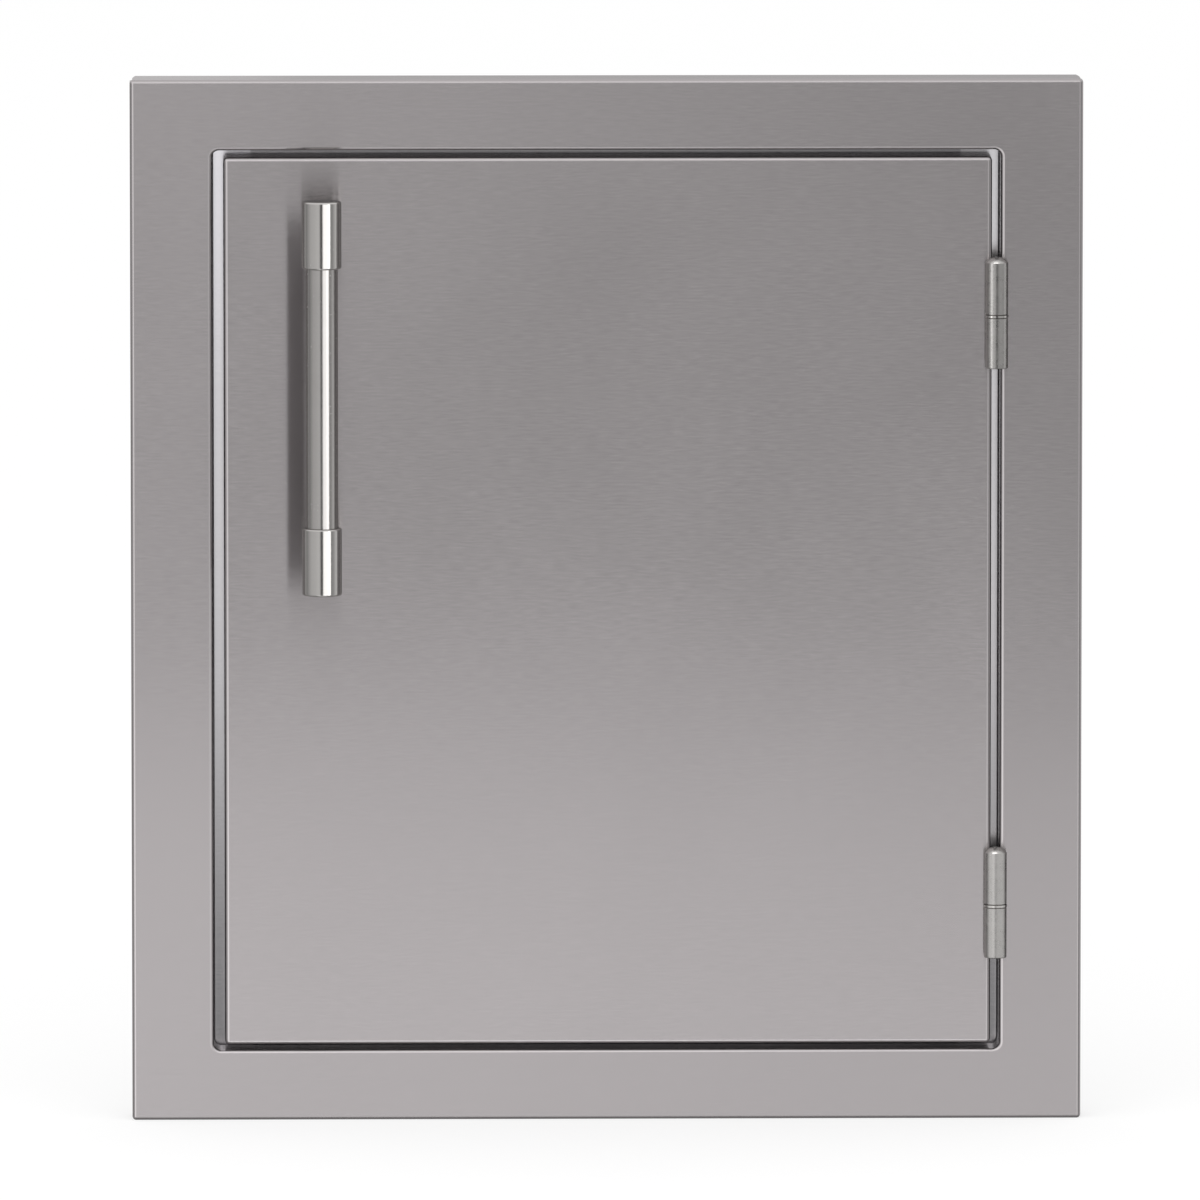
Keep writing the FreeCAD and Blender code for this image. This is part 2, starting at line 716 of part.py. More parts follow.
frame_face = half_opening["side"] - leaf_thickness
door_face = door_right + leaf_thickness
frame_plate_x = (jamb_inside["side"] + jamb_sheet, jamb_inside["side"] + jamb_sheet + hinge_plate_thickness)
door_plate_x = (door_right - door_sheet, door_right - door_sheet - hinge_plate_thickness)
frame_screw_length = frame_plate_x[1] - frame_face
door_screw_length = door_face - door_plate_x[1]
for name, seam in hinge_seams.items():
    save("hinge_" + name + "_frame_half", frame_half(seam))
    save("hinge_" + name + "_door_half", door_half(seam))
    save("hinge_" + name + "_pin", hinge_pin(seam))
    save("hinge_" + name + "_ring", hinge_ring(seam))
seams = hinge_seams.values()
save("hinge_frame_plates", *[hinge_plate(frame_plate_x, frame_screw_levels(seam)) for seam in seams])
save("hinge_door_plates", *[hinge_plate(door_plate_x, door_screw_levels(seam)) for seam in seams])
save("hinge_frame_screws",
     *[hinge_screw(frame_face, 1, z, frame_screw_length) for seam in seams for z in frame_screw_levels(seam)])
save("hinge_door_screws",
     *[hinge_screw(door_face, -1, z, door_screw_length) for seam in seams for z in door_screw_levels(seam)])

save("handle_bar", handle_bar())
for end, level in post_levels.items():
    save("handle_ferrule_" + end, ferrule(end))
    save("handle_post_" + end, post(end))
save("handle_screws", *[handle_screw(level) for level in post_levels.values()])
save("handle_washers", *[handle_washer(level) for level in post_levels.values()])
save("handle_sleeves", *[handle_sleeve(level) for level in post_levels.values()])

save("catch_housing", catch_housing())
save("catch_magnet", catch_magnet())
save("catch_poles", *catch_poles())
save("catch_screws", *[catch_screw(z) for z in catch_screw_levels])
save("strike_plate", strike_plate())
save("strike_rivets", *[strike_rivet(z) for z in rivet_levels])
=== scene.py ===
import math

import bmesh
import bpy
from mathutils import Matrix, Vector


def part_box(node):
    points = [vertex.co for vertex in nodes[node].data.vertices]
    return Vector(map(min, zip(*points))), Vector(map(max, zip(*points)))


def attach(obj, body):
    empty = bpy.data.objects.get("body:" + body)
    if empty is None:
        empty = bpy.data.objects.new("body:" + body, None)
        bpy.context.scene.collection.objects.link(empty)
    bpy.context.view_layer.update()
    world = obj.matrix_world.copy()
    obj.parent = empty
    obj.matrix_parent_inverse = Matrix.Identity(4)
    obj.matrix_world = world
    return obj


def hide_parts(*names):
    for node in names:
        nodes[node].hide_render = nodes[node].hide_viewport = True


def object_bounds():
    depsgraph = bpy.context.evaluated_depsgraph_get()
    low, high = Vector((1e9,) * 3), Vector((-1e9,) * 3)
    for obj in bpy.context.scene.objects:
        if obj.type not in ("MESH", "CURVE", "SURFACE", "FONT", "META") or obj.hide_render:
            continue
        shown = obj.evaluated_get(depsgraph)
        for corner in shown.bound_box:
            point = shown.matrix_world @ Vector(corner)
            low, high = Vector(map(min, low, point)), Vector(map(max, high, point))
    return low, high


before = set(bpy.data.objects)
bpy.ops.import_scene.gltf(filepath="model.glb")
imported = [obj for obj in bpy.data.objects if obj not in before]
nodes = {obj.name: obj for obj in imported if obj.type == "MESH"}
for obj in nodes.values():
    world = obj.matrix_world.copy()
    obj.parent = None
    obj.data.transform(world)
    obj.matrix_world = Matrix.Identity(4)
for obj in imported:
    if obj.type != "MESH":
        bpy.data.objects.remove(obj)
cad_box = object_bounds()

# The face frame: one laser-cut stainless sheet, folded back to the wall round its outside and
# turned in round the opening. Its whole face is brushed level, and the folds catch the light.
SHEET_LINES = {"Spacing": 0.0008, "Length": 0.007}
SHEET_MARKS = {"Patch": 0.12, "Speck": 0.006}
LINE_NOISE = {"Scale": 1.0, "Detail": 3.0, "Roughness": 0.65}
PATCH_NOISE = {"Detail": 4.0, "Roughness": 0.55, "Distortion": 0.4}
# Between these values lies nearly all of the noise of the fine lines, and of everything softer
LINE_REACH = (0.25, 0.75)
SOFT_REACH = (0.3, 0.7)
# The share of a face's normal that points up or down, where level lines give way to lines along X
LOOKS_UP = (0.6, 0.8)
BROAD_LINES = 5.0
BROAD_TONE = 0.2
# A speck's core and rim, as distances in its cell, and the chance from which a cell holds one
SPECK_EDGE = (0.05, 0.16)
SPECK_CHANCE = (0.9, 0.94)
SPECK_TONE = 0.03
SHEET_PATCH_TONE = 0.008
SHEET_PATCH_DULLING = 0.012
LINE_DULLING = 0.03
QUARTER_TURN = 0.25
# The grain runs along X. Its small shares of Y and Z give it a way on faces that look along X too
GRAIN_WAY = {"X": 1.0, "Y": 0.1, "Z": 0.02}


def add(tree, kind, links=None, **settings):
    """One node of a tree, with its settings, and its inputs linked from a socket or set to a value."""
    made = tree.nodes.new(kind)
    for name, value in settings.items():
        setattr(made, name, value)
    for socket, source in (links or {}).items():
        if isinstance(source, bpy.types.NodeSocket):
            tree.links.new(source, made.inputs[socket])
        else:
            made.inputs[socket].default_value = source
    return made


def calc(tree, operation, first, second=0.0):
    """The result of one sum on values."""
    return add(tree, "ShaderNodeMath", {0: first, 1: second}, operation=operation).outputs[0]


def spread(tree, value, low, high, new_low, new_high):
    """A value carried from one range to another, and held inside it."""
    made = add(tree, "ShaderNodeMapRange", {
        "Value": value, "From Min": low, "From Max": high, "To Min": new_low, "To Max": new_high})
    return made.outputs["Result"]


def swing(tree, noise, reach, middle, by):
    """A value that swings to both sides of its middle, as a noise goes through its usual reach."""
    return spread(tree, noise, *reach, middle - by, middle + by)


def shader_group(name, inputs, outputs):
    """An empty shader group with named numbers going in and coming out, and its two end nodes."""
    tree = bpy.data.node_groups.new(name, "ShaderNodeTree")
    for labels, way in ((inputs, "INPUT"), (outputs, "OUTPUT")):
        for label in labels:
            tree.interface.new_socket(label, in_out=way, socket_type="NodeSocketFloat")
    return tree, tree.nodes.new("NodeGroupInput").outputs, tree.nodes.new("NodeGroupOutput").inputs


def brushed_lines():
    """Lines left by the belt: level on every upright face, and along X on faces that look up or down."""
    tree, given, result = shader_group("brushed lines", ("Spacing", "Length"), ("Fine", "Broad"))
    where = tree.nodes.new("ShaderNodeTexCoord").outputs
    place = add(tree, "ShaderNodeSeparateXYZ", {0: where["Object"]}).outputs
    facing = add(tree, "ShaderNodeSeparateXYZ", {0: where["Normal"]}).outputs
    looks_up = spread(tree, calc(tree, "ABSOLUTE", facing["Z"]), *LOOKS_UP, 0.0, 1.0)
    upright = calc(tree, "SUBTRACT", 1.0, looks_up)
    across = add(tree, "ShaderNodeMix", {
        "Factor": looks_up, "A": place["Z"], "B": place["Y"]}).outputs["Result"]
    along = calc(tree, "ADD", place["X"], calc(tree, "MULTIPLY", place["Y"], upright))
    for label, wider in (("Fine", 1.0), ("Broad", BROAD_LINES)):
        across_lines = calc(tree, "DIVIDE", across, calc(tree, "MULTIPLY", given["Spacing"], wider))
        along_lines = calc(tree, "DIVIDE", along, calc(tree, "MULTIPLY", given["Length"], wider))
        lines = add(tree, "ShaderNodeCombineXYZ", {"X": along_lines, "Y": across_lines, "Z": wider})
        noise = add(tree, "ShaderNodeTexNoise", {"Vector": lines.outputs[0], **LINE_NOISE})
        tree.links.new(noise.outputs["Fac"], result[label])
    return tree


def handling_marks():
    """Soft patches where a surface was wiped and touched, and small specks of dust and pits."""
    tree, given, result = shader_group("handling marks", ("Patch", "Speck"), ("Patches", "Specks"))
    place = tree.nodes.new("ShaderNodeTexCoord").outputs["Object"]
    patches = add(tree, "ShaderNodeTexNoise", {
        "Vector": place, "Scale": calc(tree, "DIVIDE", 1.0, given["Patch"]), **PATCH_NOISE})
    tree.links.new(patches.outputs["Fac"], result["Patches"])
    cells = add(tree, "ShaderNodeTexVoronoi", {
        "Vector": place, "Scale": calc(tree, "DIVIDE", 1.0, given["Speck"])})
    chance = add(tree, "ShaderNodeSeparateColor", {0: cells.outputs["Color"]}).outputs[0]
    near = spread(tree, cells.outputs["Distance"], *SPECK_EDGE, 1.0, 0.0)
    sown = spread(tree, chance, *SPECK_CHANCE, 0.0, 1.0)
    tree.links.new(calc(tree, "MULTIPLY", near, sown), result["Specks"])
    return tree


LINES = brushed_lines()
MARKS = handling_marks()


def placed(tree, group, values):
    """One of the shared groups, set into a material with its own values."""
    made = tree.nodes.new("ShaderNodeGroup")
    made.node_tree = group
    for label, value in values.items():
        made.inputs[label].default_value = value
    return made.outputs


def finish_material(name, settings):
    """A new material with its Principled shader, and the values that are the same all over."""
    material = bpy.data.materials.new(name)
    material.use_nodes = True
    shader = material.node_tree.nodes["Principled BSDF"]
    for socket, value in settings.items():
        shader.inputs[socket].default_value = value
    return material, material.node_tree, shader


def toned(tree, shader, colour, factor):
    """Gives a shader its colour, lighter or darker by a value that changes over the surface."""
    scaled = add(tree, "ShaderNodeVectorMath", {0: colour, "Scale": factor}, operation="SCALE")
    tree.links.new(scaled.outputs[0], shader.inputs["Base Color"])


def raised(tree, shader, pattern, height):
    """Lets a pattern stand up from the surface."""
    bump = add(tree, "ShaderNodeBump", {"Height": pattern, "Distance": height, "Strength": 1.0})
    tree.links.new(bump.outputs["Normal"], shader.inputs["Normal"])


def brushed_sheet(name, colour, roughness, stretch, line_tone, line_height):
    """Stainless sheet brushed level: long fine lines in tone, roughness and height, and soft patches."""
    material, tree, shader = finish_material(name, {
        "Metallic": 1.0, "Anisotropic": stretch, "Anisotropic Rotation": QUARTER_TURN})
    lines = placed(tree, LINES, SHEET_LINES)
    marks = placed(tree, MARKS, SHEET_MARKS)
    tone = calc(tree, "ADD", swing(tree, lines["Fine"], LINE_REACH, 1.0, line_tone),
                swing(tree, lines["Broad"], SOFT_REACH, 0.0, BROAD_TONE * line_tone))
    tone = calc(tree, "ADD", tone, swing(tree, marks["Patches"], SOFT_REACH, 0.0, SHEET_PATCH_TONE))
    tone = calc(tree, "SUBTRACT", tone, calc(tree, "MULTIPLY", marks["Specks"], SPECK_TONE))
    toned(tree, shader, colour, tone)
    dull = calc(tree, "ADD", swing(tree, lines["Fine"], LINE_REACH, roughness, LINE_DULLING),
                swing(tree, marks["Patches"], SOFT_REACH, 0.0, SHEET_PATCH_DULLING))
    tree.links.new(dull, shader.inputs["Roughness"])
    raised(tree, shader, lines["Fine"], line_height)
    grain = add(tree, "ShaderNodeCombineXYZ", GRAIN_WAY)
    tree.links.new(grain.outputs[0], shader.inputs["Tangent"])
    return material


def wear(material, *names):
    """Gives CAD nodes their finish."""
    for name in names:
        nodes[name].material_slots[0].material = material


brushed = brushed_sheet("brushed stainless", colour=(0.522, 0.4925, 0.4975), roughness=0.18, stretch=1.0,
                        line_tone=0.024, line_height=0.00000025)
wear(brushed, "face_frame")

# The jambs and stops: strips of plain mill-finish stainless, folded, spot-welded behind the frame
# to make the box that goes through the wall. The stops are the bright strips seen beside the door.
OUTWARDS = {"left": (-1, 0, 0), "right": (1, 0, 0), "head": (0, 0, 1), "sill": (0, 0, -1)}
SIDES = tuple(OUTWARDS)
STOP_BEND = 0.0030
STOP_SHARP_BEND = 0.0018
SHARP_ANGLE = math.radians(25)
SAME_PLACE = 0.000001


def new_piece(name, mesh, material):
    """A mesh as an object of its own, with one finish."""
    piece = bpy.data.objects.new(name, mesh)
    bpy.context.scene.collection.objects.link(piece)
    mesh.materials.clear()
    mesh.materials.append(material)
    return piece


def joined_copy(node):
    """A CAD node's faces again, joined at their edges."""
    made = bmesh.new()
    made.from_mesh(nodes[node].data)
    bmesh.ops.remove_doubles(made, verts=made.verts, dist=SAME_PLACE)
    return made


def mesh_of(name, made):
    """The faces drawn so far as a mesh."""
    mesh = bpy.data.meshes.new(name)
    made.to_mesh(mesh)
    made.free()
    return mesh


def sharper_stop(side):
    """A stop with its bend drawn in from the bending radius of the CAD sheet to the real, sharper one."""
    outwards = Vector(OUTWARDS[side])
    low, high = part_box("stop_" + side)
    edge = max(low.dot(outwards), high.dot(outwards))
    drawn_in = STOP_BEND - STOP_SHARP_BEND
    made = joined_copy("stop_" + side)
    for vert in made.verts:
        # How far the point lies past the middle of the bend, outwards and forwards
        out = vert.co.dot(outwards) - edge + STOP_BEND
        fore = low.y + STOP_BEND - vert.co.y
        if out > -SAME_PLACE and fore > -SAME_PLACE:
            nearer = drawn_in / math.hypot(out, fore)
            vert.co += outwards * (drawn_in - out * nearer)
            vert.co.y -= drawn_in - fore * nearer
    mesh = mesh_of("sharp_stop_" + side, made)
    mesh.shade_smooth()
    mesh.set_sharp_from_angle(angle=SHARP_ANGLE)
    piece = new_piece("sharp_stop_" + side, mesh, mill)
    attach(piece, "frame")
    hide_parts("stop_" + side)
    return piece


mill = brushed_sheet("mill stainless", colour=(0.63, 0.615, 0.63), roughness=0.2, stretch=0.35,
                     line_tone=0.04, line_height=0.0000004)
wear(mill, *["jamb_" + side for side in SIDES])
stops = {side: sharper_stop(side) for side in SIDES}

# The seals: extruded black rubber strips, ribbed on the face that the door shuts on, glued to the
# front of the stops.
SEAL_RIBS = 3
SEAL_RIB_HEIGHT = 0.0007
SEAL_FOOT_LEAN = 0.0004
SEAL_STEPS = 8
RUBBER_MARKS = {"Patch": 0.012, "Speck": 0.0015}
RUBBER_BLOOM = (0.8, 1.35)
RUBBER_ROUGHNESS = (0.5, 0.68)


def rubber(name, colour):
    """Black extruded rubber with a dusty bloom."""
    material, tree, shader = finish_material(name, {"Specular IOR Level": 0.35})
    marks = placed(tree, MARKS, RUBBER_MARKS)
    toned(tree, shader, colour, spread(tree, marks["Patches"], *SOFT_REACH, *RUBBER_BLOOM))
    dull = spread(tree, marks["Patches"], *SOFT_REACH, *RUBBER_ROUGHNESS)
    tree.links.new(dull, shader.inputs["Roughness"])
    return material


def seal_section(width, thickness):
    """Half-round ribs side by side on a flat foot, whose sides lean in a little. The foot lies at y = 0."""
    rib = (width - 2 * SEAL_FOOT_LEAN) / SEAL_RIBS
    section = [(width / 2, 0.0)]
    for number in range(SEAL_RIBS):
        middle = width / 2 - SEAL_FOOT_LEAN - rib * (number + 0.5)
        for step in range(SEAL_STEPS + 1):
            angle = math.pi * step / SEAL_STEPS
            if number and not step:
                continue
            section.append((middle + rib / 2 * math.cos(angle),
                            SEAL_RIB_HEIGHT - thickness - SEAL_RIB_HEIGHT * math.sin(angle)))
    return section + [(-width / 2, 0.0)]


def strip_mesh(name, section, length, place):
    """A straight strip: a closed section pulled to both sides by half its length, carried to its place."""
    made = bmesh.new()
    ends = [[made.verts.new((x, y, z)) for x, y in section] for z in (-length / 2, length / 2)]
    for spot in range(len(section)):
        after = (spot + 1) % len(section)
        made.faces.new((ends[0][spot], ends[0][after], ends[1][after], ends[1][spot]))
    made.faces.new(ends[0])
    made.faces.new(ends[1])
    made.transform(place)
    bmesh.ops.recalc_face_normals(made, faces=made.faces)
    return mesh_of(name, made)


seal_rubber = rubber("seal rubber", (0.016, 0.016, 0.017))
for side in SIDES:
    low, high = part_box("seal_" + side)
    size = high - low
    middle = (low + high) / 2
    lies_level = size.x > size.z
    turn = Matrix.Rotation(math.pi / 2, 4, "Y") if lies_level else Matrix.Identity(4)
    place = Matrix.Translation((middle.x, high.y, middle.z)) @ turn
    section = seal_section(min(size.x, size.z), size.y)
    mesh = strip_mesh("ribbed_seal_" + side, section, max(size.x, size.z), place)
    piece = new_piece("ribbed_seal_" + side, mesh, seal_rubber)
    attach(piece, "frame")
    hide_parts("seal_" + side)

# The door skin: a pan of the same brushed sheet as the face frame, with its edges folded back. Its
# lips are turned in behind, for the liner to be welded to.
wear(brushed, "door_skin")

# The liner and the stiffeners: the inner wall of the door, pressed from mill-finish sheet, and the
# hat sections glued between it and the skin.
LINER_EDGE = 0.0003
EDGE_STEPS = 2
FLAT_ANGLE = math.radians(1)


def softened(name, node, width, material):
    """A CAD node again, with its faces joined and its edges rounded, to stand for it."""
    made = joined_copy(node)
    bmesh.ops.dissolve_degenerate(made, dist=SAME_PLACE, edges=made.edges)
    bmesh.ops.dissolve_limit(made, angle_limit=FLAT_ANGLE, verts=made.verts, edges=made.edges)
    piece = new_piece(name, mesh_of(name, made), material)
    bevel = piece.modifiers.new("rounded edges", "BEVEL")
    bevel.width = width
    bevel.segments = EDGE_STEPS
    bevel.limit_method = "ANGLE"
    bevel.angle_limit = SHARP_ANGLE
    bevel.harden_normals = True
    return piece


wear(mill, "door_stiffener_left", "door_stiffener_right")
liner = softened("pressed_liner", "door_liner", LINER_EDGE, mill)
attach(liner, "door")
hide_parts("door_liner")

# The spot welds: dished marks in rows, where the liner lies on the lips of the skin, and where the
# frame's returns and the stops are welded to the jambs.
WELD_RADIUS = 0.0024
WELD_HEIGHT = 0.00009
WELD_SINK = 0.00005
WELD_STEPS = 20
# Shares of the height and of the radius, from the foot over the rim to the dished middle
WELD_PROFILE = ((0.0, 1.0), (1.0, 0.86), (1.0, 0.74), (0.3, 0.6), (0.2, 0.2))
WELD_PITCH = 0.045
LINER_WELD_INSET = 0.0060
JAMB_WELD_END = 0.020
RETURN_WELD_DEPTH = -0.0125
STOP_WELD_INSET = 0.006
ROUND_STEPS = 36
INTO_WALL = (0, 1, 0)


def node_tree(name, inputs):
    """An empty Geometry Nodes tree with named inputs, and its two end nodes."""
    tree = bpy.data.node_groups.new(name, "GeometryNodeTree")
    tree.interface.new_socket("Geometry", in_out="INPUT", socket_type="NodeSocketGeometry")
    for label, kind in inputs.items():
        tree.interface.new_socket(label, in_out="INPUT", socket_type="NodeSocket" + kind)
    tree.interface.new_socket("Geometry", in_out="OUTPUT", socket_type="NodeSocketGeometry")
    return tree, tree.nodes.new("NodeGroupInput").outputs, tree.nodes.new("NodeGroupOutput").inputs


def copies_at(tree, given, points, turn, result):
    """The end of a tree: copies of one object on points, made real and given their finish."""
    copy = add(tree, "GeometryNodeObjectInfo", {"Object": given["Copy"]})
    copies = add(tree, "GeometryNodeInstanceOnPoints", {
        "Points": points, "Instance": copy.outputs["Geometry"], "Rotation": turn})
    real = add(tree, "GeometryNodeRealizeInstances", {"Geometry": copies.outputs[0]})
    painted = add(tree, "GeometryNodeSetMaterial", {"Geometry": real.outputs[0], "Material": given["Finish"]})
    tree.links.new(painted.outputs[0], result["Geometry"])


def copies_in_rows():
    """Copies of one object at even steps along every edge of the path."""
    tree, given, result = node_tree("copies in rows", {
        "Copy": "Object", "Pitch": "Float", "Turn": "Rotation", "Finish": "Material"})
    curve = add(tree, "GeometryNodeMeshToCurve", {"Mesh": given["Geometry"]})
    steps = add(tree, "GeometryNodeResampleCurve", {
        "Curve": curve.outputs[0], "Length": given["Pitch"]}, mode="LENGTH")
    points = add(tree, "GeometryNodeCurveToPoints", {"Curve": steps.outputs[0]}, mode="EVALUATED")
    copies_at(tree, given, points.outputs["Points"], given["Turn"], result)
    return tree


def grown(name, base, tree, values, material):
    """The mesh that a tree makes from a base mesh, in one finish, as a plain piece of its own."""
    holder = bpy.data.objects.new(name, base)
    bpy.context.scene.collection.objects.link(holder)
    modifier = holder.modifiers.new(tree.name, "NODES")
    modifier.node_group = tree
    values = {"Finish": material, **values}
    for socket in tree.interface.items_tree:
        if socket.in_out == "INPUT" and socket.name in values:
            modifier[socket.identifier] = values[socket.name]
    view = bpy.context.evaluated_depsgraph_get()
    mesh = bpy.data.meshes.new_from_object(holder.evaluated_get(view))
    bpy.data.objects.remove(holder)
    mesh.name = name
    return new_piece(name, mesh, material)


def round_outline(angle):
    """A circle of radius 1."""
    return 1.0


def lofted(name, rings, steps=ROUND_STEPS):
    """A closed round form along Z through rings of (height, outline, size)."""
    made = bmesh.new()
    loops = []
    for height, outline, size in rings:
        loop = []
        for step in range(steps):
            angle = 2 * math.pi * step / steps
            reach = size * outline(angle)
            loop.append(made.verts.new((reach * math.cos(angle), reach * math.sin(angle), height)))
        loops.append(loop)
    for lower, upper in zip(loops, loops[1:]):
        for step in range(steps):
            after = (step + 1) % steps
            made.faces.new((lower[step], lower[after], upper[after], upper[step]))
    made.faces.new(loops[0])
    made.faces.new(loops[-1])
    bmesh.ops.recalc_face_normals(made, faces=made.faces)
    return mesh_of(name, made)


weld_rings = [(-WELD_SINK, round_outline, WELD_RADIUS)]
for high_share, wide_share in WELD_PROFILE:
    weld_rings.append((WELD_HEIGHT * high_share, round_outline, WELD_RADIUS * wide_share))
weld_mesh = lofted("spot weld", weld_rings, WELD_STEPS)
weld_mesh.shade_smooth()
weld_mark = bpy.data.objects.new("spot weld", weld_mesh)
ROWS = copies_in_rows()


def weld_rows(name, rows, facing, body):
    """Rows of spot welds on faces that look one way. Each row is a pair of ends."""
    base = bpy.data.meshes.new(name)
    ends = [end for row in rows for end in row]
    base.from_pydata(ends, [(spot, spot + 1) for spot in range(0, len(ends), 2)], [])
    turn = Vector(facing).to_track_quat("Z", "Y").to_euler()
    piece = grown(name, base, ROWS, {"Copy": weld_mark, "Pitch": WELD_PITCH, "Turn": turn}, mill)
    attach(piece, body)


low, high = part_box("door_liner")
left, right = low.x + LINER_WELD_INSET, high.x - LINER_WELD_INSET
foot, top = low.z + LINER_WELD_INSET, high.z - LINER_WELD_INSET
weld_rows("liner_welds", [
    ((left, high.y, foot), (left, high.y, top)), ((right, high.y, foot), (right, high.y, top)),
    ((left + WELD_PITCH, high.y, foot), (right - WELD_PITCH, high.y, foot)),
    ((left + WELD_PITCH, high.y, top), (right - WELD_PITCH, high.y, top)),
], INTO_WALL, "door")

stop_weld_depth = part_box("stop_left")[1].y - STOP_WELD_INSET
for side in SIDES:
    low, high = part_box("jamb_" + side)
    rows = []
    for depth in (RETURN_WELD_DEPTH, stop_weld_depth):
        if side in ("left", "right"):
            face = low.x if side == "left" else high.x
            rows.append(((face, depth, low.z + JAMB_WELD_END), (face, depth, high.z - JAMB_WELD_END)))
        else:
            face = low.z if side == "sill" else high.z
            rows.append(((low.x + JAMB_WELD_END, depth, face), (high.x - JAMB_WELD_END, depth, face)))
    weld_rows("jamb_welds_" + side, rows, OUTWARDS[side], "frame")

# The hinges: lift-off pin hinges cast in stainless steel and bead-blasted to a satin finish, each
# half screwed through its leaf to a tapped plate.
# A grey tint on the reflection at grazing angles: painted shade that darkens the rims of the cast and turned
# pieces.
PAINTED_DARK_RIM = (0.4, 0.4, 0.4, 1.0)
CAST_SKIN = {"Scale": 1500.0, "Detail": 3.0, "Roughness": 0.6}
CAST_SKIN_HEIGHT = 0.00004
CAST_SKIN_TONE = 0.05
CAST_MARKS = {"Patch": 0.004, "Speck": 0.0012}
CAST_PATCH_TONE = 0.07
CAST_ROUGHNESS = (0.24, 0.34)
TOOL_LINES = {"Spacing": 0.00035, "Length": 0.012}
TOOL_LINE_TONE = 0.025
TOOL_LINE_HEIGHT = 0.000002
TURNED_MARKS = {"Patch": 0.02, "Speck": 0.0015}
TURNED_PATCH_TONE = 0.02
TURNED_SPECK_DULLING = 0.15
LEVELS = ("upper", "lower")


def satin_casting(name, colour):
    """Blasted casting: a fine pebbled skin with soft wear, and painted shade on its rims."""
    material, tree, shader = finish_material(name, {"Metallic": 1.0, "Specular Tint": PAINTED_DARK_RIM})
    marks = placed(tree, MARKS, CAST_MARKS)
    place = tree.nodes.new("ShaderNodeTexCoord").outputs["Object"]
    skin = add(tree, "ShaderNodeTexNoise", {"Vector": place, **CAST_SKIN}).outputs["Fac"]
    tone = calc(tree, "ADD", swing(tree, marks["Patches"], SOFT_REACH, 1.0, CAST_PATCH_TONE),
                swing(tree, skin, SOFT_REACH, 0.0, CAST_SKIN_TONE))
    toned(tree, shader, colour, tone)
    dull = spread(tree, marks["Patches"], *SOFT_REACH, *CAST_ROUGHNESS)
    tree.links.new(dull, shader.inputs["Roughness"])
    raised(tree, shader, skin, CAST_SKIN_HEIGHT)
    return material


def turned_steel(name, colour, roughness):
    """Bright turned or ground round stock, with fine level tool lines, and painted shade on its rims."""
    material, tree, shader = finish_material(name, {
        "Metallic": 1.0, "Anisotropic": 0.5, "Anisotropic Rotation": QUARTER_TURN, "Specular Tint": PAINTED_DARK_RIM})
    lines = placed(tree, LINES, TOOL_LINES)
    marks = placed(tree, MARKS, TURNED_MARKS)
    tone = calc(tree, "ADD", swing(tree, lines["Fine"], LINE_REACH, 1.0, TOOL_LINE_TONE),
                swing(tree, marks["Patches"], SOFT_REACH, 0.0, TURNED_PATCH_TONE))
    toned(tree, shader, colour, tone)
    dull = calc(tree, "ADD", swing(tree, lines["Fine"], LINE_REACH, roughness, LINE_DULLING),
                calc(tree, "MULTIPLY", marks["Specks"], TURNED_SPECK_DULLING))
    tree.links.new(dull, shader.inputs["Roughness"])
    raised(tree, shader, lines["Fine"], TOOL_LINE_HEIGHT)
    return material


cast = satin_casting("blasted casting", (0.56, 0.545, 0.53))
bright = turned_steel("bright turned steel", (0.66, 0.64, 0.62), 0.18)
plated = turned_steel("zinc plated steel", (0.58, 0.60, 0.63), 0.32)
for level in LEVELS:
    wear(cast, "hinge_%s_frame_half" % level, "hinge_%s_door_half" % level)
    wear(bright, "hinge_%s_pin" % level, "hinge_%s_ring" % level)
wear(plated, "hinge_frame_plates", "hinge_door_plates")

# The hinge screws: countersunk M4, with a hexagon socket, two to each half. Their heads show in the
# gap beside the door when it stands open.
SUNK_THREAD = 0.0020
# The places of the plain numbers among the sockets of the node that draws random values
LARGEST_NUMBER = 3
DRAWN_NUMBER = 1


def hexagon(angle):
    """A hexagon, 1 from its middle to its flats."""
    sector = math.pi / 3
    return 1 / math.cos(angle % sector - sector / 2)


# A fastener's tip is points of (height over its end, radius), and its head and its recess are points
# of (height from the crown of the head, radius).
SUNK_SCREW = {
    "tip": ((0.0, 0.0014), (0.0006, SUNK_THREAD)),
    "head": ((-0.0017, SUNK_THREAD), (-0.0002, 0.0036), (0.0, 0.0035)),
    "outline": hexagon,
    "recess": ((0.0, 0.00125), (-0.0015, 0.00125), (-0.0019, 0.0004)),
}


def solids_of(node):
    """The lowest and highest corner of each separate solid of a CAD node, lowest solid first."""
    made = joined_copy(node)
    waiting = set(made.verts)
    boxes = []
    while waiting:
        group = [waiting.pop()]
        for vert in group:
            for edge in vert.link_edges:
                other = edge.other_vert(vert)
                if other in waiting:
                    waiting.discard(other)
                    group.append(other)
        boxes.append((Vector(min(vert.co[axis] for vert in group) for axis in range(3)),
                      Vector(max(vert.co[axis] for vert in group) for axis in range(3))))
    made.free()
    return sorted(boxes, key=lambda box: box[0].z)


def copies_on_points():
    """Copies of one object on every point, each turned by chance about its own axis."""
    tree, given, result = node_tree("copies on points", {
        "Copy": "Object", "Turn": "Rotation", "Seed": "Int", "Finish": "Material"})
    chance = add(tree, "FunctionNodeRandomValue", {
        LARGEST_NUMBER: 2 * math.pi, "Seed": given["Seed"]}, data_type="FLOAT")
    spin = add(tree, "FunctionNodeAxisAngleToRotation", {
        "Axis": (0.0, 0.0, 1.0), "Angle": chance.outputs[DRAWN_NUMBER]})
    turn = add(tree, "FunctionNodeRotateRotation", {
        "Rotation": given["Turn"], "Rotate By": spin.outputs[0]}, rotation_space="LOCAL")
    copies_at(tree, given, given["Geometry"], turn.outputs[0], result)
    return tree


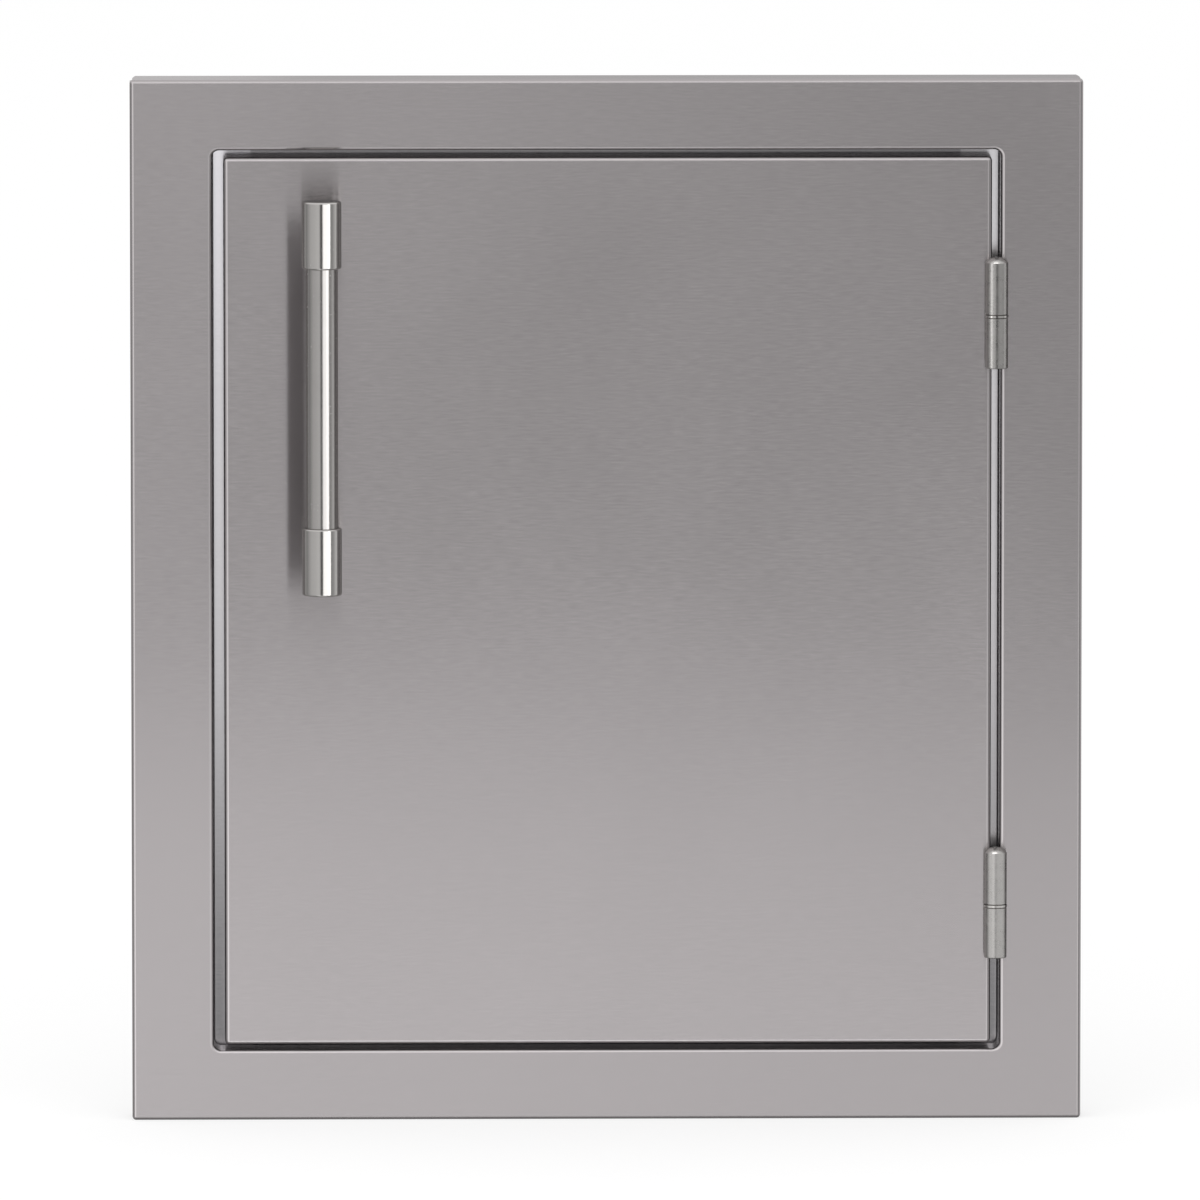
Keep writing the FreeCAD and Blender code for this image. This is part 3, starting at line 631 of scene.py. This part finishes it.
def fastener_rings(length, tip, head, outline, recess):
    """The rings of a fastener of one length, from its tip over its head to the foot of its recess."""
    return ([(height - length, round_outline, radius) for height, radius in tip]
            + [(height, round_outline, radius) for height, radius in head]
            + [(height, outline, radius) for height, radius in recess])


def fasteners(name, node, form, facing, seed, body):
    """Detailed fasteners in the place of a CAD group. The origin of each is its outermost face."""
    axis = [abs(part) for part in facing].index(1)
    outer = 1 if facing[axis] > 0 else 0
    solids = solids_of(node)
    spots = []
    for box in solids:
        spot = (box[0] + box[1]) / 2
        spot[axis] = box[outer][axis]
        spots.append(spot)
    base = bpy.data.meshes.new(name)
    base.from_pydata(spots, [], [])
    low, high = solids[0]
    rings = fastener_rings(high[axis] - low[axis], **form)
    pattern = bpy.data.objects.new(name + " pattern", lofted(name + " pattern", rings))
    turn = Vector(facing).to_track_quat("Z", "Y").to_euler()
    piece = grown(name, base, POINTS, {"Copy": pattern, "Turn": turn, "Seed": seed}, bright)
    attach(piece, body)
    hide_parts(node)


POINTS = copies_on_points()
fasteners("hinge_frame_socket_screws", "hinge_frame_screws", SUNK_SCREW, OUTWARDS["left"], seed=3,
          body="frame")
fasteners("hinge_door_socket_screws", "hinge_door_screws", SUNK_SCREW, OUTWARDS["right"], seed=3, body="door")

# The handle: a ground stainless tube held in two turned ferrules, each on a post. A button-head
# screw from inside the door holds each post.
BUTTON_THREAD = 0.0025
BUTTON_SCREW = {
    "tip": ((0.0, 0.0019), (0.0007, BUTTON_THREAD)),
    "head": ((-0.0026, BUTTON_THREAD), (-0.0026, 0.0043), (-0.0024, 0.0045), (-0.0016, 0.0043),
             (-0.0008, 0.0036), (-0.0002, 0.0025), (0.0, 0.0020)),
    "outline": hexagon,
    "recess": ((0.0, 0.0015), (-0.0016, 0.0015), (-0.0021, 0.0004)),
}

tube = turned_steel("ground tube", (0.58, 0.56, 0.545), 0.25)
ferrule = turned_steel("turned ferrule", (0.66, 0.64, 0.62), 0.19)
wear(tube, "handle_bar")
for level in LEVELS:
    wear(ferrule, "handle_ferrule_" + level)
    wear(tube, "handle_post_" + level)
wear(bright, "handle_washers")
wear(plated, "handle_sleeves")
fasteners("handle_button_screws", "handle_screws", BUTTON_SCREW, INTO_WALL, seed=5, body="door")

# The catch: a moulded nylon housing with a ferrite magnet between two plated poles, and the plated
# strike plate. Cross-head screws hold the housing, and blind rivets hold the plate to the liner.
MOULDED_SKIN = {"Scale": 2600.0, "Detail": 2.0, "Roughness": 0.6}
MOULDED_SKIN_HEIGHT = 0.00003
MOULDED_MARKS = {"Patch": 0.01, "Speck": 0.002}
MOULDED_TONES = (0.85, 1.2)
MOULDED_ROUGHNESS = (0.38, 0.52)
HOUSING_EDGE = 0.0005
STRIKE_EDGE = 0.00025
CROSS_THREAD = 0.00165
CROSS_ARM = 0.3
NEARLY_NONE = 0.000001
RIVET_BARREL = 0.0016
RIVET_FLANGE = 0.0026


def cross(angle):
    """The four-armed recess of a cross-head screw, 1 to the end of its arms."""
    flat = max(abs(math.cos(angle)), NEARLY_NONE)
    steep = max(abs(math.sin(angle)), NEARLY_NONE)
    return max(min(1 / flat, CROSS_ARM / steep), min(CROSS_ARM / flat, 1 / steep))


CROSS_SCREW = {
    "tip": ((0.0, 0.0008), (0.0008, CROSS_THREAD)),
    "head": ((-0.0020, CROSS_THREAD), (-0.0020, 0.0031), (-0.0018, 0.00325), (-0.0010, 0.0031),
             (-0.0003, 0.0026), (0.0, 0.0020)),
    "outline": cross,
    "recess": ((0.0, 0.0017), (-0.0008, 0.0011), (-0.0014, 0.0003)),
}
BLIND_RIVET = {
    "tip": ((0.0, 0.0020), (0.0, RIVET_FLANGE), (0.0008, RIVET_FLANGE), (0.0008, RIVET_BARREL)),
    "head": ((-0.0008, RIVET_BARREL), (-0.0008, RIVET_FLANGE), (-0.0005, 0.0025), (-0.0002, 0.0021),
             (0.0, 0.0014)),
    "outline": round_outline,
    "recess": ((0.0, 0.0010), (-0.0006, 0.0009), (-0.0009, 0.0005)),
}


def moulded(name, colour):
    """Black moulded or sintered stuff with a fine eroded texture."""
    material, tree, shader = finish_material(name, {"Specular IOR Level": 0.4})
    place = tree.nodes.new("ShaderNodeTexCoord").outputs["Object"]
    skin = add(tree, "ShaderNodeTexNoise", {"Vector": place, **MOULDED_SKIN}).outputs["Fac"]
    marks = placed(tree, MARKS, MOULDED_MARKS)
    toned(tree, shader, colour, spread(tree, marks["Patches"], *SOFT_REACH, *MOULDED_TONES))
    dull = spread(tree, skin, *SOFT_REACH, *MOULDED_ROUGHNESS)
    tree.links.new(dull, shader.inputs["Roughness"])
    raised(tree, shader, skin, MOULDED_SKIN_HEIGHT)
    return material


nylon = moulded("moulded nylon", (0.028, 0.028, 0.03))
ferrite = moulded("sintered ferrite", (0.05, 0.05, 0.052))
housing = softened("moulded_catch_housing", "catch_housing", HOUSING_EDGE, nylon)
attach(housing, "frame")
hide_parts("catch_housing")
strike = softened("stamped_strike_plate", "strike_plate", STRIKE_EDGE, plated)
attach(strike, "door")
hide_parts("strike_plate")
wear(ferrite, "catch_magnet")
wear(plated, "catch_poles")
fasteners("catch_cross_screws", "catch_screws", CROSS_SCREW, INTO_WALL, seed=7, body="frame")
fasteners("strike_blind_rivets", "strike_rivets", BLIND_RIVET, INTO_WALL, seed=9, body="door")

# The studio's camera and floor: the camera stands at the photograph's view, with a long lens. The
# floor is pale, glows a little so that it stays pale, and shows in no piece.
VIEW_AZIMUTH = -1.0
VIEW_ELEVATION = 6.5
VIEW_DISTANCE = 8.5
VIEW_WIDTH = 0.5608
SENSOR = 36.0
AIM = Vector((-0.0031, -0.024, 0.0005))
WHITE = (1.0, 1.0, 1.0, 1.0)
FLOOR_PAINT = (0.9, 0.9, 0.9, 1.0)
FLOOR_SIZE = 14.0
FLOOR_GLOW = 1.08
FLOOR_GLOW_SHARE = 0.6


def direction(azimuth, elevation):
    """Unit vector from the door to a place in front of it. Azimuth grows towards the hinge side."""
    around = math.radians(azimuth)
    above = math.radians(elevation)
    return Vector((math.sin(around) * math.cos(above), -math.cos(around) * math.cos(above), math.sin(above)))


def bare_nodes(data):
    """The node tree of a material or of the world, emptied."""
    data.use_nodes = True
    data.node_tree.nodes.clear()
    return data.node_tree


def panel(name, corners, paint):
    """A flat piece of the studio, through four corners."""
    mesh = bpy.data.meshes.new(name)
    mesh.from_pydata(corners, [], [(0, 1, 2, 3)])
    return new_piece(name, mesh, paint)


camera = bpy.data.objects.new("camera", bpy.data.cameras.new("camera"))
bpy.context.scene.collection.objects.link(camera)
camera.data.sensor_width = SENSOR
camera.data.lens = SENSOR * VIEW_DISTANCE / VIEW_WIDTH
back = direction(VIEW_AZIMUTH, VIEW_ELEVATION)
camera.location = AIM + back * VIEW_DISTANCE
camera.rotation_mode = "QUATERNION"
camera.rotation_quaternion = (-back).to_track_quat("-Z", "Y")
bpy.context.scene.camera = camera

floor_paint = bpy.data.materials.new("pale floor")
tree = bare_nodes(floor_paint)
matt = add(tree, "ShaderNodeBsdfDiffuse", {"Color": FLOOR_PAINT})
glow = add(tree, "ShaderNodeEmission", {"Color": WHITE, "Strength": FLOOR_GLOW})
mixed = add(tree, "ShaderNodeMixShader", {0: FLOOR_GLOW_SHARE, 1: matt.outputs[0], 2: glow.outputs[0]})
add(tree, "ShaderNodeOutputMaterial", {"Surface": mixed.outputs[0]})
half = FLOOR_SIZE / 2
corners = ((-half, -half), (half, -half), (half, half), (-half, half))
floor = panel("floor", [(x, y, cad_box[0].z) for x, y in corners], floor_paint)
floor.visible_glossy = False
floor.visible_diffuse = False
floor.visible_shadow = False

# The room: a white one for the camera and for matt pieces. Polished round pieces show it as upright
# bands, so for them its brightness changes with the direction round the door.
# Each pair is degrees from straight ahead, growing towards the hinge side, and a brightness.
ROOM = (
    (-180, 0.75), (-150, 0.65), (-122, 0.50), (-100, 0.24), (-84, 0.38), (-65, 0.52), (-40, 0.56),
    (-15, 0.64), (-10, 0.45), (-7, 0.06), (8, 0.06), (11, 0.28), (58, 0.28), (66, 0.30), (80, 0.50),
    (96, 0.70), (110, 0.55), (150, 0.45), (180, 0.50),
)
ROOM_TOP = 0.8
ROOM_FLOOR = 0.25
# Heights of a direction between which the walls go over to the ceiling, and to the floor
CEILING = (0.2, 0.5)
UNDERFOOT = (-0.45, -0.7)
# The Ray Depth at which light is seen in a first reflection, and what is left of it in later ones
FIRST_REFLECTION = 2.0
DEEP = 0.75


def dimmed(tree, value):
    """A brightness that falls off after the first reflection, so gaps and the backs of pieces stay dark."""
    depth = tree.nodes.new("ShaderNodeLightPath").outputs["Ray Depth"]
    kept = spread(tree, depth, FIRST_REFLECTION, FIRST_REFLECTION + 1, 1.0, DEEP)
    return calc(tree, "MULTIPLY", value, kept)


world = bpy.data.worlds.new("studio")
bpy.context.scene.world = world
tree = bare_nodes(world)
place = tree.nodes.new("ShaderNodeTexCoord").outputs["Generated"]
way = add(tree, "ShaderNodeSeparateXYZ", {0: place}).outputs
azimuth = calc(tree, "ARCTAN2", way["X"], calc(tree, "MULTIPLY", way["Y"], -1.0))
turn = spread(tree, azimuth, -math.pi, math.pi, 0.0, 1.0)
walls = add(tree, "ShaderNodeFloatCurve", {"Value": turn})
curve = walls.mapping.curves[0]
spots = [((angle + 180) / 360, brightness) for angle, brightness in ROOM]
curve.points[0].location = spots[0]
curve.points[1].location = spots[-1]
for spot in spots[1:-1]:
    curve.points.new(*spot)
for point in curve.points:
    point.handle_type = "VECTOR"
walls.mapping.update()
overhead = spread(tree, way["Z"], *CEILING, 0.0, 1.0)
underfoot = spread(tree, way["Z"], *UNDERFOOT, 0.0, 1.0)
upper = add(tree, "ShaderNodeMix", {"Factor": overhead, "A": walls.outputs[0], "B": ROOM_TOP})
whole = add(tree, "ShaderNodeMix", {"Factor": underfoot, "A": upper.outputs["Result"], "B": ROOM_FLOOR})
room = add(tree, "ShaderNodeBackground", {"Color": WHITE, "Strength": dimmed(tree, whole.outputs["Result"])})
white = add(tree, "ShaderNodeBackground", {"Color": WHITE, "Strength": 1.0})
path = tree.nodes.new("ShaderNodeLightPath").outputs
plain = calc(tree, "MAXIMUM", path["Is Camera Ray"], path["Is Diffuse Ray"])
seen = add(tree, "ShaderNodeMixShader", {0: plain, 1: room.outputs[0], 2: white.outputs[0]})
add(tree, "ShaderNodeOutputWorld", {"Surface": seen.outputs[0]})

# The lights: soft cards in front of the door, and soft windows further off. Each lights only the
# pieces that reflect it in the photograph. The floor and all small pieces are lit with the sheets.
handle_pieces = [piece for name, piece in nodes.items()
                 if name.startswith(("handle_bar", "handle_ferrule", "handle_post"))]
upper_hinge, lower_hinge = [
    [nodes["hinge_%s_%s" % (level, part)] for part in ("frame_half", "door_half", "pin", "ring")]
    for level in LEVELS]
hinge_pieces = upper_hinge + lower_hinge
stop_pieces = [stops["left"], stops["right"]]
sheets = [piece for piece in bpy.context.scene.objects
          if piece.type == "MESH" and piece not in handle_pieces + hinge_pieces + stop_pieces]
CARD_SIZE = 1.3
CARD_FOOT = -0.65
CARD_HEAD = 0.65
# The low card lies under this height, and makes the foot of the sheets brighter
CARD_STEP = -0.108
LOW_CARD_FOOT = CARD_STEP - 0.6
# Shares of a card's width and height between which its slope and its foot change it
SLOPE_START = 0.35
FOOT_START = 0.31
FOOT_END = 0.44


def soft_light(name, centre, target, width, height, radiance, lit):
    """A flat soft light that looks at a target, for some of the pieces."""
    light = bpy.data.objects.new(name, bpy.data.lights.new(name, "AREA"))
    bpy.context.scene.collection.objects.link(light)
    light.data.shape = "RECTANGLE"
    light.data.size = width
    light.data.size_y = height
    light.data.energy = radiance * math.pi * width * height
    light.location = centre
    light.rotation_mode = "QUATERNION"
    light.rotation_quaternion = (Vector(target) - Vector(centre)).to_track_quat("-Z", "Y")
    light.visible_camera = False
    group = bpy.data.collections.new(name + " pieces")
    for piece in lit:
        group.objects.link(piece)
    light.light_linking.receiver_collection = group
    return light


def card(name, radiance, away, low, high, lit, slope=0.0, foot=1.0):
    """A glowing card in front of the door, between two heights. With a slope it is brighter at the
    latch side, and with a foot below 1 it is darker low down."""
    middle = Vector((0, -away, (low + high) / 2))
    light = soft_light(name, middle, middle + Vector((0, away, 0)), CARD_SIZE, high - low, radiance, lit)
    light.data.use_nodes = True
    tree = light.data.node_tree
    place = tree.nodes.new("ShaderNodeNewGeometry").outputs["Parametric"]
    place = add(tree, "ShaderNodeSeparateXYZ", {0: place}).outputs
    sloping = spread(tree, place["X"], SLOPE_START, 1 - SLOPE_START, 1 + slope, 1 - slope)
    rising = spread(tree, place["Y"], FOOT_START, FOOT_END, foot, 1.0)
    strength = dimmed(tree, calc(tree, "MULTIPLY", sloping, rising))
    tree.links.new(strength, tree.nodes["Emission"].inputs["Strength"])
    return light


def window(name, radiance, azimuth, wide, lit, elevation=0.0, tall=50.0, away=2.5):
    """A soft window seen from the door at one azimuth, so many degrees wide and tall."""
    width = 2 * away * math.tan(math.radians(wide / 2))
    height = 2 * away * math.tan(math.radians(tall / 2))
    soft_light(name, direction(azimuth, elevation) * away, (0, 0, 0), width, height, radiance, lit)


card("front card", radiance=0.385, away=0.56, low=CARD_FOOT, high=CARD_HEAD, lit=sheets, slope=0.1)
card("high card", radiance=0.04, away=0.54, low=0.15, high=CARD_HEAD, lit=sheets, slope=0.5)
card("low card", radiance=0.365, away=0.52, low=LOW_CARD_FOOT, high=CARD_STEP,
     lit=[nodes["face_frame"], nodes["door_skin"]])
card("frame card", radiance=0.025, away=0.58, low=-0.2, high=CARD_HEAD, lit=[nodes["face_frame"]], slope=1.0)
card("gap card", radiance=0.95, away=0.6, low=CARD_FOOT, high=CARD_HEAD, lit=stop_pieces, foot=0.25)
cool_card = card("high gap card", radiance=0.31, away=0.64, low=0.078, high=CARD_HEAD, lit=[stops["left"]])
cool_card.data.color = (0.9, 0.9, 1.0)
window("top window", radiance=0.25, azimuth=-25, wide=70, lit=sheets, elevation=50, tall=40, away=2.6)
window("low window", radiance=1.0, azimuth=0, wide=50, lit=[nodes["door_skin"]] + handle_pieces,
       elevation=-45, tall=20, away=2.4)
window("hinge top window", radiance=3.0, azimuth=-10, wide=40, lit=hinge_pieces, elevation=62, tall=16,
       away=2.4)
window("wide bar window", radiance=1.3, azimuth=19, wide=32, lit=handle_pieces)
window("bright bar window", radiance=2.2, azimuth=41, wide=13, lit=handle_pieces, away=2.7)
window("hinge window", radiance=1.0, azimuth=-53, wide=18, lit=upper_hinge)
window("wide hinge window", radiance=0.15, azimuth=38, wide=50, lit=upper_hinge, away=2.6)
window("low hinge window", radiance=0.42, azimuth=20, wide=116, lit=lower_hinge)
window("low side window", radiance=0.3, azimuth=-58, wide=36, lit=lower_hinge, away=2.6)

# The flag: a grey strip at the latch side of the bar, seen only in the sheet, where it is a painted
# reflection: a dark band that widens the bar's image. What lies nearer to it than the sheet doesn't see it.
FLAG_WIDTH = 0.0081
FLAG_GAP = 0.0004
FLAG_FOOT = 0.004
FLAG_TOP = 0.177
FLAG_UNSEEN_WITHIN = 0.033
PAINTED_REFLECTION_GREY = (0.6, 0.6, 0.6, 1.0)

painted_reflection_paint = bpy.data.materials.new("grey flag")
tree = bare_nodes(painted_reflection_paint)
matt = add(tree, "ShaderNodeBsdfDiffuse", {"Color": PAINTED_REFLECTION_GREY})
clear = tree.nodes.new("ShaderNodeBsdfTransparent")
ray_length = tree.nodes.new("ShaderNodeLightPath").outputs["Ray Length"]
far = calc(tree, "GREATER_THAN", ray_length, FLAG_UNSEEN_WITHIN)
mixed = add(tree, "ShaderNodeMixShader", {0: far, 1: clear.outputs[0], 2: matt.outputs[0]})
add(tree, "ShaderNodeOutputMaterial", {"Surface": mixed.outputs[0]})
bar_low, bar_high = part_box("handle_bar")
depth = (bar_low.y + bar_high.y) / 2
right = bar_low.x - FLAG_GAP
left = right - FLAG_WIDTH
corners = ((left, FLAG_FOOT), (right, FLAG_FOOT), (right, FLAG_TOP), (left, FLAG_TOP))
# Unseen by the camera, its grey paints a dark reflection beside the bar in the door sheet.
flag = panel("flag", [(x, depth, z) for x, z in corners], painted_reflection_paint)
flag.visible_camera = False
flag.visible_shadow = False

bpy.context.scene.view_settings.view_transform = "Standard"
